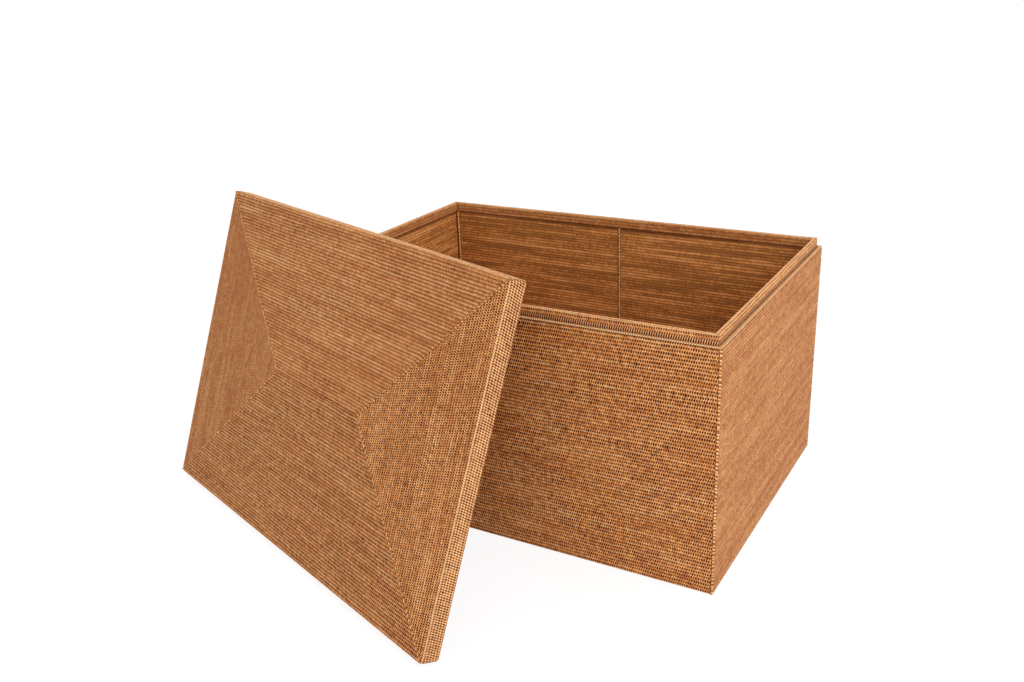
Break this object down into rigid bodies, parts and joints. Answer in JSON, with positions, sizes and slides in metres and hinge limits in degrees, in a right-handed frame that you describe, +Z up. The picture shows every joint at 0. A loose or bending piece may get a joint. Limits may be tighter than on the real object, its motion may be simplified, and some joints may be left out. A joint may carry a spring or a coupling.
{
  "type": "storage box",
  "caption": "Rectangular woven cane storage box, open, with an inset collar round its rim and a flat mitre-woven lift-off lid leaning on its front corner.",
  "frame": {"origin": "centre of the box's underside, at the level it stands on", "axes": "+X along the box's width, to the right seen from its front; +Y from the front to the back; +Z up"},
  "size_m": [0.7894, 0.6808, 0.3994],
  "materials": {
    "woven_cane": "satin",
    "lining_cane": "satin",
    "edge_cane": "satin",
    "lath_wood": "matte",
    "board_wood": "matte"
  },
  "bodies": {
    "root": {"wall_weave_front": "woven_cane", "wall_weave_right": "woven_cane", "wall_weave_back": "woven_cane", "wall_weave_left": "woven_cane", "underside_weave": "woven_cane", "collar_band_front": "woven_cane", "collar_band_right": "woven_cane", "collar_band_back": "woven_cane", "collar_band_left": "woven_cane", "lining_left_half_front": "lining_cane", "lining_right_half_front": "lining_cane", "lining_right": "lining_cane", "lining_left_half_back": "lining_cane", "lining_right_half_back": "lining_cane", "lining_left": "lining_cane", "floor_mat": "lining_cane", "wall_corner_cord_front_left": "edge_cane", "wall_corner_cord_front_right": "edge_cane", "wall_corner_cord_back_right": "edge_cane", "wall_corner_cord_back_left": "edge_cane", "ledge_edging": "edge_cane", "seam_cord_front": "edge_cane", "seam_cord_back": "edge_cane", "lining_corner_cord_front_left": "edge_cane", "lining_corner_cord_front_right": "edge_cane", "lining_corner_cord_back_right": "edge_cane", "lining_corner_cord_back_left": "edge_cane", "bottom_rail_front": "lath_wood", "bottom_rail_right": "lath_wood", "bottom_rail_back": "lath_wood", "bottom_rail_left": "lath_wood", "top_rail_front": "lath_wood", "top_rail_right": "lath_wood", "top_rail_back": "lath_wood", "top_rail_left": "lath_wood", "corner_post_front_left": "lath_wood", "corner_post_front_right": "lath_wood", "corner_post_back_right": "lath_wood", "corner_post_back_left": "lath_wood", "mid_stud_front": "lath_wood", "mid_stud_back": "lath_wood", "base_board": "board_wood"},
    "lid": {"lid_panel_front": "woven_cane", "lid_panel_right": "woven_cane", "lid_panel_back": "woven_cane", "lid_panel_left": "woven_cane", "lid_skirt_front": "woven_cane", "lid_skirt_right": "woven_cane", "lid_skirt_back": "woven_cane", "lid_skirt_left": "woven_cane", "lid_lining": "lining_cane", "lid_hip_cord_right": "edge_cane", "lid_hip_cord_left": "edge_cane", "lid_ridge_cord": "edge_cane", "lid_rail_front": "lath_wood", "lid_rail_right": "lath_wood", "lid_rail_back": "lath_wood", "lid_rail_left": "lath_wood", "lid_board": "board_wood"}
  },
  "joints": [
    {"name": "lid_lift", "type": "slide", "parent": "root", "child": "lid", "axis": [0, 0, 1], "range_m": [0, 0.4]}
  ]
}
